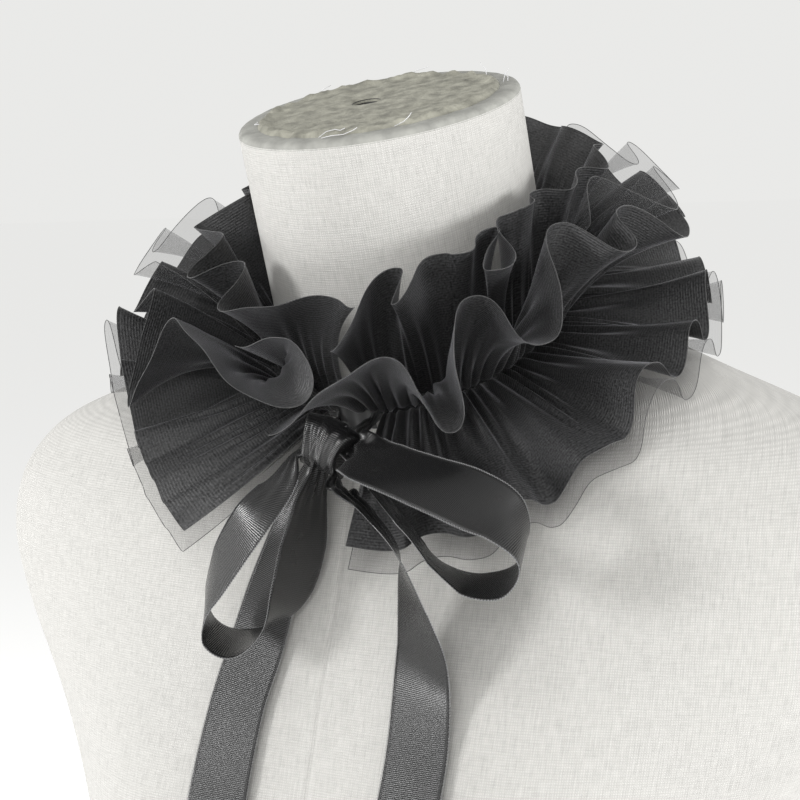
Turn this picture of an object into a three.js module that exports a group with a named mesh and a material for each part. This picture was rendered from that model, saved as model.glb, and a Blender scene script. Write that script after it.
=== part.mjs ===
// Ruffled false collar tied round the neck of a limbless dress form.
// Units are millimetres. +Z is up, the form faces -Y, and +X is the form's left.
// The origin is the centre of the form's flat base.
import * as THREE from 'three';

// Dress form
const NECK_LEAN = 16; // degrees forward from upright
const NECK_BASE = new THREE.Vector3(0, 14, 432);
const NECK_RADIUS = 57.6;
const NECK_LENGTH = 107; // along the neck from NECK_BASE to the cut top
const FORM_POINTS = 44; // points round each section of the form
const BUST = { x: 82, z: 245, wide: 44, tall: 48, rise: 12 };
const CAP_RADIUS = 50;
const CAP_THICK = 1.6;

// Collar
const WALL = 1.2; // thickness of each solid strip
const RIBBON_WIDTH = 25;
const RIBBON_WALL = 1.2;
const GAP = 0.3;

const UP = new THREE.Vector3(0, 0, 1);
const lean = THREE.MathUtils.degToRad(NECK_LEAN);
// Axes of the neck: side is the form's left, front faces out of the throat, axis runs up the neck
const SIDE = new THREE.Vector3(1, 0, 0);
const FRONT = new THREE.Vector3(0, -Math.cos(lean), -Math.sin(lean));
const AXIS = new THREE.Vector3(0, -Math.sin(lean), Math.cos(lean));

const rad = THREE.MathUtils.degToRad;

// The collar lies on the root of the neck, which is higher at the sides and back than at the throat
const SEAM_MIDDLE = 12;
const SEAM_TILT = 14;
const ROOT_DROP = 4.6; // from the seam down to where the neck leaves the shoulders

function seamHeight(angle) {
  return SEAM_MIDDLE - SEAM_TILT * Math.cos(rad(angle));
}

// Point on a ring about the neck: angle 0 is the front and 90 the form's left
function ringPoint(angle, radius, height) {
  return NECK_BASE.clone()
    .addScaledVector(SIDE, radius * Math.sin(rad(angle)))
    .addScaledVector(FRONT, radius * Math.cos(rad(angle)))
    .addScaledVector(AXIS, height);
}

// Unit vector along the ring, toward growing angle
function ringAlong(angle) {
  return SIDE.clone().multiplyScalar(Math.cos(rad(angle)))
    .addScaledVector(FRONT, -Math.sin(rad(angle)));
}

// Unit vector that leaves the neck at a lift above the plane of the ring
function ringOut(angle, lift) {
  return SIDE.clone().multiplyScalar(Math.sin(rad(angle)) * Math.cos(rad(lift)))
    .addScaledVector(FRONT, Math.cos(rad(angle)) * Math.cos(rad(lift)))
    .addScaledVector(AXIS, Math.sin(rad(lift)));
}

function geometryFrom(points, faces) {
  const g = new THREE.BufferGeometry();
  g.setAttribute('position', new THREE.Float32BufferAttribute(points.flatMap((p) => [p.x, p.y, p.z]), 3));
  g.setIndex(faces.flat());
  g.computeVertexNormals();
  return g;
}

function signedVolume(points, faces) {
  let v = 0;
  for (const [a, b, c] of faces) {
    v += points[a].dot(new THREE.Vector3().crossVectors(points[b], points[c])) / 6;
  }
  return v;
}

// Turns every face over when the body was wound inside out
function facesOut(points, faces) {
  return signedVolume(points, faces) < 0 ? faces.map(([a, b, c]) => [a, c, b]) : faces;
}

// Closed wall of even thickness about an open grid of points
function wallAbout(grid, thick) {
  const rows = grid.length;
  const cols = grid[0].length;
  const at = (i, j) => grid[Math.min(Math.max(i, 0), rows - 1)][Math.min(Math.max(j, 0), cols - 1)];
  const points = [];
  for (const way of [1, -1]) {
    for (let i = 0; i < rows; i += 1) {
      for (let j = 0; j < cols; j += 1) {
        const du = at(i, j + 1).clone().sub(at(i, j - 1));
        const dv = at(i + 1, j).clone().sub(at(i - 1, j));
        const n = du.cross(dv).normalize();
        points.push(grid[i][j].clone().addScaledVector(n, way * thick / 2));
      }
    }
  }
  const id = (side, i, j) => side * rows * cols + i * cols + j;
  const faces = [];
  const quad = (a, b, c, d) => faces.push([a, b, c], [a, c, d]);
  for (let i = 0; i < rows - 1; i += 1) {
    for (let j = 0; j < cols - 1; j += 1) {
      quad(id(0, i, j), id(0, i, j + 1), id(0, i + 1, j + 1), id(0, i + 1, j));
      quad(id(1, i, j), id(1, i + 1, j), id(1, i + 1, j + 1), id(1, i, j + 1));
    }
  }
  for (let j = 0; j < cols - 1; j += 1) {
    quad(id(0, 0, j), id(1, 0, j), id(1, 0, j + 1), id(0, 0, j + 1));
    quad(id(0, rows - 1, j), id(0, rows - 1, j + 1), id(1, rows - 1, j + 1), id(1, rows - 1, j));
  }
  for (let i = 0; i < rows - 1; i += 1) {
    quad(id(0, i, 0), id(0, i + 1, 0), id(1, i + 1, 0), id(1, i, 0));
    quad(id(0, i, cols - 1), id(1, i, cols - 1), id(1, i + 1, cols - 1), id(0, i + 1, cols - 1));
  }
  return geometryFrom(points, facesOut(points, faces));
}

// Closed body through rings of equal count, with a flat fan at each end
function loft(rings) {
  const count = rings[0].length;
  const points = rings.flat();
  const faces = [];
  for (let i = 0; i < rings.length - 1; i += 1) {
    for (let j = 0; j < count; j += 1) {
      const k = (j + 1) % count;
      const a = i * count;
      faces.push([a + j, a + k, a + count + k], [a + j, a + count + k, a + count + j]);
    }
  }
  for (const [first, turn] of [[0, false], [(rings.length - 1) * count, true]]) {
    const ring = points.slice(first, first + count);
    const centre = points.length;
    points.push(ring.reduce((s, p) => s.add(p), new THREE.Vector3()).divideScalar(count));
    for (let j = 0; j < count; j += 1) {
      const k = (j + 1) % count;
      faces.push(turn ? [centre, first + j, first + k] : [centre, first + k, first + j]);
    }
  }
  return geometryFrom(points, facesOut(points, faces));
}

// Sections of the form from the base up. z and y are the centre, tilt leans the section forward,
// and half is the half width, front and back the depths, and power the squareness.
const FORM = [
  { z: 0, y: 0, tilt: 0, half: 126, front: 86, back: 78, power: 2.3 },
  { z: 30, y: 0, tilt: 0, half: 120, front: 83, back: 74, power: 2.2 },
  { z: 65, y: 1, tilt: 0, half: 120, front: 85, back: 74, power: 2.2 },
  { z: 115, y: 2, tilt: 0, half: 128, front: 93, back: 80, power: 2.2 },
  { z: 180, y: 4, tilt: 0, half: 142, front: 104, back: 90, power: 2.2 },
  { z: 235, y: 5, tilt: 0, half: 154, front: 105, back: 98, power: 2.2 },
  { z: 280, y: 7, tilt: 0, half: 176, front: 94, back: 101, power: 2.3 },
  { z: 320, y: 9, tilt: 0, half: 203, front: 81, back: 100, power: 2.3 },
  { z: 350, y: 10, tilt: 1, half: 215, front: 71, back: 96, power: 2.3 },
  { z: 375, y: 9, tilt: 3, half: 212, front: 62, back: 90, power: 2.2 },
  { z: 392, y: 8, tilt: 6, half: 200, front: 56, back: 84, power: 2 },
  { z: 405, y: 7, tilt: 10, half: 180, front: 52, back: 79, power: 1.9 },
  { z: 416, y: 6, tilt: 17, half: 148, front: 50, back: 73, power: 1.8 },
  { z: 427, y: 6, tilt: 25, half: 110, front: 52, back: 67, power: 1.8 },
  { z: 433, y: 7, tilt: 29, half: 82, front: 54, back: 65, power: 1.9 },
];
const NECK_HEIGHTS = [60, NECK_LENGTH];

function formRing(row) {
  const t = rad(row.tilt);
  const ring = [];
  for (let i = 0; i < FORM_POINTS; i += 1) {
    const a = 2 * Math.PI * i / FORM_POINTS;
    const c = Math.cos(a);
    const s = Math.sin(a);
    const across = row.half * Math.sign(c) * Math.abs(c) ** (2 / row.power);
    const depth = (s < 0 ? row.front : row.back) * Math.sign(s) * Math.abs(s) ** (2 / row.power);
    const p = new THREE.Vector3(across, row.y + depth * Math.cos(t), row.z + depth * Math.sin(t));
    if (s < 0) {
      const u = (Math.abs(p.x) - BUST.x) / BUST.wide;
      const v = (p.z - BUST.z) / BUST.tall;
      p.y -= BUST.rise * Math.exp(-u * u - v * v) * Math.min(1, -s * 2);
    }
    ring.push(p);
  }
  return ring;
}

// Ring on the neck, level with its axis or sloping with the root of the neck
function neckRing(heightAt) {
  const ring = [];
  for (let i = 0; i < FORM_POINTS; i += 1) {
    const a = 90 + 360 * i / FORM_POINTS;
    ring.push(ringPoint(a, NECK_RADIUS, heightAt(a)));
  }
  return ring;
}

function disc(radius, low, high, count) {
  const ring = (h) => Array.from({ length: count }, (_, i) => ringPoint(360 * i / count, radius, h));
  return loft([ring(low), ring(high)]);
}

// Each row of a ruffle is one crest or valley of its free edge. seam and rim are the angles of the
// fold at the neck and at the edge, and lift its slope above the plane of the ring. loop is how round
// it turns, in millimetres, and reach the straight distance from seam to edge.
// Angles past the back of the neck are written as negative ones.
function counted(rows) {
  let turn = 0;
  let last = -360;
  return rows.map((r) => {
    if (r.seam + turn < last) turn += 360;
    last = r.seam + turn;
    return { ...r, seam: r.seam + turn, rim: r.rim + turn };
  });
}

function edgeOf(row, radius, height) {
  const lift = rad(row.lift);
  const level = seamHeight(row.rim) + height;
  return ringPoint(row.rim, radius + row.reach * Math.cos(lift), level + row.reach * Math.sin(lift));
}

function hermite(a, b, ta, tb, t) {
  const t2 = t * t;
  const t3 = t2 * t;
  return a.clone().multiplyScalar(2 * t3 - 3 * t2 + 1)
    .addScaledVector(ta, t3 - 2 * t2 + t)
    .addScaledVector(b, 3 * t2 - 2 * t3)
    .addScaledVector(tb, t3 - t2);
}

// Grid of a gathered strip. rise is the slope with which it leaves the seam, and bow how far it keeps it.
function ruffleGrid(folds, { radius, height, rise, bow }, steps, across) {
  const rows = counted(folds);
  const grid = Array.from({ length: across + 1 }, () => []);
  for (let k = 0; k < rows.length - 1; k += 1) {
    const a = rows[k];
    const b = rows[k + 1];
    const pa = edgeOf(a, radius, height);
    const pb = edgeOf(b, radius, height);
    const ta = ringAlong(a.rim).multiplyScalar(a.loop);
    const tb = ringAlong(b.rim).multiplyScalar(b.loop);
    const last = k === rows.length - 2 ? steps : steps - 1;
    for (let i = 0; i <= last; i += 1) {
      const t = i / steps;
      const seamAngle = a.seam + (b.seam - a.seam) * t;
      const lift = a.lift + (b.lift - a.lift) * t;
      const seam = ringPoint(seamAngle, radius, seamHeight(seamAngle) + height);
      const edge = hermite(pa, pb, ta, tb, t);
      const hold = ringOut(seamAngle, (rise + lift) / 2).multiplyScalar(seam.distanceTo(edge) * bow).add(seam);
      for (let j = 0; j <= across; j += 1) {
        const v = j / across;
        grid[j].push(seam.clone().multiplyScalar((1 - v) ** 2)
          .addScaledVector(hold, 2 * v * (1 - v))
          .addScaledVector(edge, v * v));
      }
    }
  }
  return grid;
}

const UPPER_OUTER = [
  { seam: 2, rim: 1, lift: 15, loop: 20, reach: 60 },
  { seam: 16, rim: 23, lift: 38, loop: 50, reach: 61 },
  { seam: 30, rim: 33, lift: 9, loop: 36, reach: 62 },
  { seam: 40, rim: 42, lift: 53, loop: 46, reach: 60 },
  { seam: 53, rim: 53, lift: 27, loop: 52, reach: 62 },
  { seam: 64, rim: 71, lift: 66, loop: 44, reach: 60 },
  { seam: 75, rim: 79, lift: 40, loop: 44, reach: 62 },
  { seam: 86, rim: 89, lift: 54, loop: 44, reach: 60 },
  { seam: 99, rim: 103, lift: 24, loop: 44, reach: 59 },
  { seam: 111, rim: 115, lift: 34, loop: 34, reach: 56 },
  { seam: 123, rim: 126, lift: 14, loop: 34, reach: 57 },
  { seam: 135, rim: 138, lift: 30, loop: 34, reach: 56 },
  { seam: 147, rim: 149, lift: 12, loop: 36, reach: 58 },
  { seam: 159, rim: 161, lift: 28, loop: 36, reach: 58 },
  { seam: 171, rim: 172, lift: 12, loop: 36, reach: 60 },
  { seam: -177, rim: -177, lift: 28, loop: 36, reach: 60 },
  { seam: -165, rim: -165, lift: 12, loop: 36, reach: 60 },
  { seam: -153, rim: -152, lift: 28, loop: 36, reach: 60 },
  { seam: -140, rim: -139, lift: 12, loop: 36, reach: 60 },
  { seam: -127, rim: -125, lift: 30, loop: 36, reach: 60 },
  { seam: -114, rim: -112, lift: 14, loop: 36, reach: 60 },
  { seam: -101, rim: -98, lift: 34, loop: 36, reach: 60 },
  { seam: -88, rim: -84, lift: 20, loop: 36, reach: 61 },
  { seam: -77, rim: -71, lift: 46, loop: 34, reach: 60 },
  { seam: -66, rim: -62, lift: 30, loop: 24, reach: 61 },
  { seam: -59, rim: -55, lift: 48, loop: 26, reach: 60 },
  { seam: -52, rim: -45, lift: 6, loop: 30, reach: 62 },
  { seam: -42, rim: -33, lift: 49, loop: 40, reach: 60 },
  { seam: -27, rim: 3, lift: 25, loop: 66, reach: 58 },
  { seam: -12, rim: 2, lift: 50, loop: -34, reach: 60 },
  { seam: -6, rim: -16, lift: 50, loop: -24, reach: 50 },
];

const UPPER_INNER = [
  { seam: 6, rim: 12, lift: 41, loop: 14, reach: 56 },
  { seam: 18, rim: 27, lift: 74, loop: 34, reach: 59 },
  { seam: 29, rim: 26, lift: 55, loop: 18, reach: 58 },
  { seam: 38, rim: 38, lift: 74, loop: 30, reach: 59 },
  { seam: 46, rim: 46, lift: 70, loop: 26, reach: 59 },
  { seam: 52, rim: 57, lift: 76, loop: 40, reach: 59 },
  { seam: 58, rim: 51, lift: 56, loop: 56, reach: 58 },
  { seam: 65, rim: 64, lift: 80, loop: 36, reach: 59 },
  { seam: 73, rim: 73, lift: 76, loop: 26, reach: 59 },
  { seam: 81, rim: 82, lift: 82, loop: 26, reach: 57 },
  { seam: 90, rim: 91, lift: 70, loop: 28, reach: 56 },
  { seam: 101, rim: 102, lift: 72, loop: 30, reach: 55 },
  { seam: 112, rim: 112, lift: 60, loop: 30, reach: 54 },
  { seam: 123, rim: 124, lift: 63, loop: 30, reach: 54 },
  { seam: 134, rim: 134, lift: 55, loop: 30, reach: 54 },
  { seam: 145, rim: 146, lift: 62, loop: 30, reach: 54 },
  { seam: 156, rim: 156, lift: 55, loop: 30, reach: 54 },
  { seam: 167, rim: 168, lift: 64, loop: 30, reach: 55 },
  { seam: 178, rim: 178, lift: 58, loop: 30, reach: 55 },
  { seam: -171, rim: -172, lift: 68, loop: 30, reach: 56 },
  { seam: -160, rim: -160, lift: 66, loop: 30, reach: 56 },
  { seam: -149, rim: -150, lift: 76, loop: 30, reach: 56 },
  { seam: -138, rim: -138, lift: 68, loop: 30, reach: 56 },
  { seam: -127, rim: -128, lift: 78, loop: 30, reach: 56 },
  { seam: -116, rim: -116, lift: 70, loop: 30, reach: 56 },
  { seam: -105, rim: -106, lift: 80, loop: 30, reach: 57 },
  { seam: -94, rim: -94, lift: 74, loop: 30, reach: 58 },
  { seam: -84, rim: -85, lift: 84, loop: 26, reach: 59 },
  { seam: -76, rim: -76, lift: 60, loop: 30, reach: 59 },
  { seam: -62, rim: -56, lift: 79, loop: 34, reach: 59 },
  { seam: -50, rim: -43, lift: 60, loop: 32, reach: 59 },
  { seam: -38, rim: -30, lift: 79, loop: 34, reach: 59 },
  { seam: -26, rim: -19, lift: 55, loop: 36, reach: 59 },
  { seam: -10, rim: 8, lift: 64, loop: 34, reach: 59 },
  { seam: -1, rim: 17, lift: 58, loop: 14, reach: 58 },
];

const UPPER_SHEER = [
  { seam: 80, rim: 82, lift: 58, loop: 16, reach: 52 },
  { seam: 88, rim: 92, lift: 66, loop: 30, reach: 62 },
  { seam: 100, rim: 103, lift: 33, loop: 42, reach: 62 },
  { seam: 111, rim: 115, lift: 44, loop: 36, reach: 61 },
  { seam: 123, rim: 126, lift: 23, loop: 36, reach: 61 },
  { seam: 135, rim: 138, lift: 40, loop: 36, reach: 61 },
  { seam: 147, rim: 149, lift: 21, loop: 38, reach: 63 },
  { seam: 159, rim: 161, lift: 38, loop: 38, reach: 64 },
  { seam: 171, rim: 172, lift: 21, loop: 38, reach: 66 },
  { seam: -177, rim: -177, lift: 38, loop: 38, reach: 66 },
  { seam: -165, rim: -165, lift: 21, loop: 38, reach: 66 },
  { seam: -153, rim: -152, lift: 38, loop: 38, reach: 66 },
  { seam: -140, rim: -139, lift: 21, loop: 38, reach: 66 },
  { seam: -127, rim: -125, lift: 40, loop: 38, reach: 66 },
  { seam: -114, rim: -112, lift: 23, loop: 38, reach: 66 },
  { seam: -101, rim: -98, lift: 46, loop: 38, reach: 67 },
  { seam: -88, rim: -84, lift: 34, loop: 36, reach: 68 },
  { seam: -77, rim: -72, lift: 56, loop: 30, reach: 68 },
  { seam: -67, rim: -63, lift: 42, loop: 26, reach: 68 },
  { seam: -60, rim: -55, lift: 54, loop: 14, reach: 66 },
];

const LOWER_OUTER = [
  { seam: 12, rim: 10, lift: -28, loop: 8, reach: 63 },
  { seam: 19, rim: 19, lift: -33, loop: 20, reach: 63 },
  { seam: 26, rim: 27, lift: -27, loop: 24, reach: 63 },
  { seam: 33, rim: 35, lift: -34, loop: 24, reach: 63 },
  { seam: 41, rim: 43, lift: -21, loop: 24, reach: 64 },
  { seam: 48, rim: 49, lift: -28, loop: 20, reach: 65 },
  { seam: 54, rim: 56, lift: -13, loop: 28, reach: 66 },
  { seam: 62, rim: 63, lift: -14, loop: 28, reach: 66 },
  { seam: 71, rim: 71, lift: 6, loop: 34, reach: 66 },
  { seam: 80, rim: 79, lift: -7, loop: 28, reach: 65 },
  { seam: 88, rim: 88, lift: 4, loop: 28, reach: 64 },
  { seam: 96, rim: 95, lift: -8, loop: 28, reach: 64 },
  { seam: 104, rim: 104, lift: 10, loop: 34, reach: 63 },
  { seam: 112, rim: 111, lift: -10, loop: 28, reach: 63 },
  { seam: 121, rim: 121, lift: 0, loop: 30, reach: 62 },
  { seam: 130, rim: 130, lift: -12, loop: 30, reach: 62 },
  { seam: 140, rim: 140, lift: 0, loop: 30, reach: 62 },
  { seam: 150, rim: 150, lift: -12, loop: 30, reach: 62 },
  { seam: 160, rim: 160, lift: 0, loop: 30, reach: 62 },
  { seam: 170, rim: 170, lift: -12, loop: 30, reach: 62 },
  { seam: 180, rim: 180, lift: 0, loop: 30, reach: 62 },
  { seam: -170, rim: -170, lift: -12, loop: 30, reach: 62 },
  { seam: -160, rim: -160, lift: 0, loop: 30, reach: 62 },
  { seam: -150, rim: -150, lift: -12, loop: 30, reach: 62 },
  { seam: -140, rim: -140, lift: 0, loop: 30, reach: 62 },
  { seam: -130, rim: -130, lift: -12, loop: 30, reach: 62 },
  { seam: -120, rim: -120, lift: 2, loop: 30, reach: 62 },
  { seam: -110, rim: -110, lift: -9, loop: 30, reach: 63 },
  { seam: -101, rim: -100, lift: 6, loop: 28, reach: 65 },
  { seam: -93, rim: -91, lift: -8, loop: 28, reach: 68 },
  { seam: -85, rim: -83, lift: 12, loop: 26, reach: 70 },
  { seam: -77, rim: -75, lift: -4, loop: 26, reach: 71 },
  { seam: -70, rim: -67, lift: 26, loop: 26, reach: 73 },
  { seam: -63, rim: -61, lift: 6, loop: 24, reach: 68 },
  { seam: -57, rim: -55, lift: 18, loop: 24, reach: 67 },
  { seam: -50, rim: -49, lift: -11, loop: 22, reach: 66 },
  { seam: -43, rim: -46, lift: -3, loop: 20, reach: 65 },
  { seam: -36, rim: -42, lift: -13, loop: 14, reach: 66 },
  { seam: -28, rim: -37, lift: -14, loop: 16, reach: 67 },
  { seam: -20, rim: -33, lift: -21, loop: 14, reach: 69 },
  { seam: -12, rim: -29, lift: -28, loop: 12, reach: 71 },
];

// The lower sheer strip lies under the chiffon, fold for fold, and is cut longer
const LOWER_SHEER = LOWER_OUTER.map((r) => ({ ...r, lift: r.lift - 4, reach: r.reach + 5 }));

const SEAMS = {
  upper_inner: { radius: 60.6, height: 5, rise: 88, bow: 0.5 },
  upper_sheer: { radius: 62.2, height: 3.6, rise: 78, bow: 0.5 },
  upper_outer: { radius: 63.8, height: 2, rise: 66, bow: 0.5 },
  lower_outer: { radius: 60, height: -0.6, rise: 0, bow: 0.5 },
  lower_sheer: { radius: 60, height: -2.8, rise: -6, bow: 0.5 },
};

// Ribbon strips. Each row holds the middle of the ribbon, the way its width points there, and the
// share of the full width that shows, since the ribbon is gathered where it enters the knot.
const LOOP_LEFT = [
  { mid: [-10, -73, 400], across: [0.6, -0.8, -0.1], wide: 0.4 },
  { mid: [-11, -84, 391], across: [0.8, -0.6, -0.2], wide: 0.9 },
  { mid: [-16, -96, 379], across: [0.8, -0.5, -0.3], wide: 1 },
  { mid: [-27, -100, 362], across: [0.8, -0.6, -0.2], wide: 1 },
  { mid: [-37, -98, 346], across: [0.6, -0.8, 0], wide: 1 },
  { mid: [-37, -96, 335], across: [0.4, -0.9, -0.1], wide: 1 },
  { mid: [-28, -93, 330], across: [0.4, -0.9, -0.2], wide: 1 },
  { mid: [-17, -88, 335], across: [0.3, -0.9, 0], wide: 1 },
  { mid: [-9, -81, 349], across: [-0.1, -1, 0.2], wide: 1 },
  { mid: [-5, -77, 366], across: [-0.2, -1, 0.2], wide: 1 },
  { mid: [-2, -75, 383], across: [-0.1, -1, 0.2], wide: 0.8 },
  { mid: [0, -72, 393], across: [-0.1, -1, 0.2], wide: 0.5 },
];
const LOOP_RIGHT = [
  { mid: [14.8, -70, 404], across: [0.3, -0.8, -0.5], wide: 0.45 },
  { mid: [22, -79, 404], across: [0.3, -0.9, -0.4], wide: 0.8 },
  { mid: [34, -86, 402], across: [0.2, -0.9, -0.4], wide: 1 },
  { mid: [55, -92, 398], across: [0.1, -0.9, -0.5], wide: 1 },
  { mid: [76, -96, 393], across: [0, -0.8, -0.6], wide: 1 },
  { mid: [91, -97, 386], across: [0.1, -0.8, -0.5], wide: 1 },
  { mid: [97, -95, 375], across: [0.3, -0.9, -0.3], wide: 1 },
  { mid: [90, -93, 364], across: [0.3, -0.9, -0.2], wide: 1 },
  { mid: [76, -94, 362], across: [0.4, -0.9, -0.1], wide: 1 },
  { mid: [64, -96, 368], across: [0.5, -0.9, 0], wide: 1 },
  { mid: [53, -95, 378], across: [0.5, -0.9, 0], wide: 0.9 },
  { mid: [38, -87, 388], across: [0.4, -0.9, 0], wide: 0.6 },
  { mid: [22, -76, 396], across: [0.4, -0.9, 0], wide: 0.4 },
];
const TAIL_LEFT = [
  { mid: [-8, -62, 394], across: [0.9, -0.4, 0.2], wide: 0.5 },
  { mid: [-14, -62, 382], across: [0.9, -0.4, 0.1], wide: 0.9 },
  { mid: [-20, -65, 364], across: [1, -0.3, 0], wide: 1 },
  { mid: [-27, -69, 342], across: [1, -0.1, 0], wide: 1 },
  { mid: [-31, -75, 323], across: [1, 0, 0], wide: 1 },
  { mid: [-35, -83, 303], across: [1, 0, 0], wide: 1 },
  { mid: [-37, -98, 265], across: [1, 0.1, 0], wide: 1 },
  { mid: [-38, -106, 225], across: [1, 0.1, 0], wide: 1 },
  { mid: [-38, -105, 185], across: [1, 0.1, 0], wide: 1 },
];
const TAIL_RIGHT = [
  { mid: [10, -74, 391], across: [0.4, -0.8, 0], wide: 0.45 },
  { mid: [18, -82, 389], across: [0.4, -0.9, 0], wide: 0.5 },
  { mid: [30, -88, 384], across: [0.5, -0.9, 0], wide: 0.7 },
  { mid: [41, -91, 375], across: [0.5, -0.9, 0], wide: 0.9 },
  { mid: [47, -92, 365], across: [0.6, -0.8, 0], wide: 1 },
  { mid: [49, -89, 350], across: [0.8, -0.6, 0], wide: 1 },
  { mid: [49, -84, 332], across: [0.9, -0.3, 0], wide: 1 },
  { mid: [47, -82, 314], across: [1, -0.1, 0], wide: 1 },
  { mid: [47, -87, 294], across: [1, 0, 0], wide: 1 },
  { mid: [47, -100, 266], across: [1, 0, 0], wide: 1 },
  { mid: [47, -110, 230], across: [1, 0, 0], wide: 1 },
  { mid: [47, -109, 195], across: [1, 0, 0], wide: 1 },
];

function ribbonGrid(rows, width, steps, across) {
  const mids = new THREE.CatmullRomCurve3(rows.map((r) => new THREE.Vector3(...r.mid)), false, 'centripetal');
  const ways = new THREE.CatmullRomCurve3(rows.map((r) => new THREE.Vector3(...r.across)), false, 'catmullrom');
  const grid = Array.from({ length: across + 1 }, () => []);
  for (let i = 0; i <= steps; i += 1) {
    const t = i / steps;
    const mid = mids.getPoint(t);
    const tangent = mids.getTangent(t);
    const way = ways.getPoint(t);
    way.addScaledVector(tangent, -way.dot(tangent)).normalize();
    const k = Math.min(Math.floor(t * (rows.length - 1)), rows.length - 2);
    const part = t * (rows.length - 1) - k;
    const share = rows[k].wide + (rows[k + 1].wide - rows[k].wide) * part;
    for (let j = 0; j <= across; j += 1) {
      grid[j].push(mid.clone().addScaledVector(way, width * share * (j / across - 0.5)));
    }
  }
  return grid;
}

// Ribbon band round the neck. Its two ends are gathered narrow at the throat and run forward to the
// knot. low and high are heights from the seam, and the rows are given for the form's left end.
const BAND = { low: -3.6, high: 21.4, from: 16, steps: 54 };
const BAND_END = [
  { angle: 4, radius: 79.3, low: -5, high: 2 },
  { angle: 5, radius: 71, low: -6.2, high: -0.8 },
  { angle: 6, radius: 65, low: -6.2, high: -0.8 },
  { angle: 7, radius: 61, low: -5.4, high: -0.8 },
  { angle: 9, radius: 58.8, low: -4, high: 6 },
  { angle: 12, radius: 58.6, low: -3.6, high: 16 },
];

function bandGrid(radius) {
  const columns = BAND_END.map((r) => ({ ...r }));
  for (let i = 0; i <= BAND.steps; i += 1) {
    const angle = BAND.from + (360 - 2 * BAND.from) * i / BAND.steps;
    columns.push({ angle, radius, low: BAND.low, high: BAND.high });
  }
  columns.push(...BAND_END.map((r) => ({ ...r, angle: 360 - r.angle })).reverse());
  return ['low', 'high'].map((side) => columns.map(
    (c) => ringPoint(c.angle, c.radius, seamHeight(c.angle) + c[side]),
  ));
}

// Rounded knot as a stack of rings along a slanting axis
const KNOT = { centre: [2, -69, 405], wide: 12, deep: 8, tall: 11, slant: 20 };

function knotGeometry() {
  const rings = [];
  const turn = new THREE.Matrix4().makeRotationY(rad(KNOT.slant));
  for (const v of [-0.95, -0.6, 0, 0.6, 0.95]) {
    const size = Math.sqrt(1 - v * v * 0.85);
    rings.push(Array.from({ length: 16 }, (_, i) => {
      const a = 2 * Math.PI * i / 16;
      return new THREE.Vector3(KNOT.wide * size * Math.cos(a), KNOT.deep * size * Math.sin(a), KNOT.tall * v)
        .applyMatrix4(turn).add(new THREE.Vector3(...KNOT.centre));
    }));
  }
  return loft(rings);
}

const LINEN = { color: 0xe6e2d8, roughness: 0.95 };
const PAPER = { color: 0xb9b5a8, roughness: 0.9 };
const CHIFFON = { color: 0x2a2a2d, roughness: 0.8 };
const SHEER = { color: 0x3a3a3d, roughness: 0.7 };
const SATIN = { color: 0x1c1c1f, roughness: 0.4 };

const group = new THREE.Group();
function add(name, geometry, look) {
  const mesh = new THREE.Mesh(geometry, new THREE.MeshStandardMaterial(look));
  mesh.name = name;
  group.add(mesh);
}

add('form_torso', loft([
  ...FORM.map(formRing),
  neckRing((a) => seamHeight(a) - ROOT_DROP),
  ...NECK_HEIGHTS.map((h) => neckRing(() => h)),
]), LINEN);
add('form_neck_cap', disc(CAP_RADIUS, NECK_LENGTH + GAP, NECK_LENGTH + GAP + CAP_THICK, 40), PAPER);
const bandRadius = NECK_RADIUS + GAP + 0.1 + RIBBON_WALL / 2;
add('neck_ribbon', wallAbout(bandGrid(bandRadius), RIBBON_WALL), SATIN);
add('ruffle_upper_inner', wallAbout(ruffleGrid(UPPER_INNER, SEAMS.upper_inner, 4, 3), WALL), CHIFFON);
add('ruffle_upper_sheer', wallAbout(ruffleGrid(UPPER_SHEER, SEAMS.upper_sheer, 4, 3), WALL), SHEER);
add('ruffle_upper_outer', wallAbout(ruffleGrid(UPPER_OUTER, SEAMS.upper_outer, 5, 4), WALL), CHIFFON);
add('ruffle_lower_outer', wallAbout(ruffleGrid(LOWER_OUTER, SEAMS.lower_outer, 3, 3), WALL), CHIFFON);
add('ruffle_lower_sheer', wallAbout(ruffleGrid(LOWER_SHEER, SEAMS.lower_sheer, 3, 3), WALL), SHEER);
add('bow_knot', knotGeometry(), SATIN);
add('bow_loop_left', wallAbout(ribbonGrid(LOOP_LEFT, RIBBON_WIDTH, 34, 2), RIBBON_WALL), SATIN);
add('bow_loop_right', wallAbout(ribbonGrid(LOOP_RIGHT, RIBBON_WIDTH, 34, 2), RIBBON_WALL), SATIN);
add('bow_tail_left', wallAbout(ribbonGrid(TAIL_LEFT, RIBBON_WIDTH, 20, 2), RIBBON_WALL), SATIN);
add('bow_tail_right', wallAbout(ribbonGrid(TAIL_RIGHT, RIBBON_WIDTH, 20, 2), RIBBON_WALL), SATIN);

export default group;
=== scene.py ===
"""Looks of a ruffled false collar tied round the neck of a limbless dress form.

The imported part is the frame. Tables are in millimetres and meshes in metres, in the part's own
axes: +Z is up, the form faces -Y and +X is the form's left.
"""
import math

import bmesh
import bpy
import numpy as np
from mathutils import Matrix, Vector, noise


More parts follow.
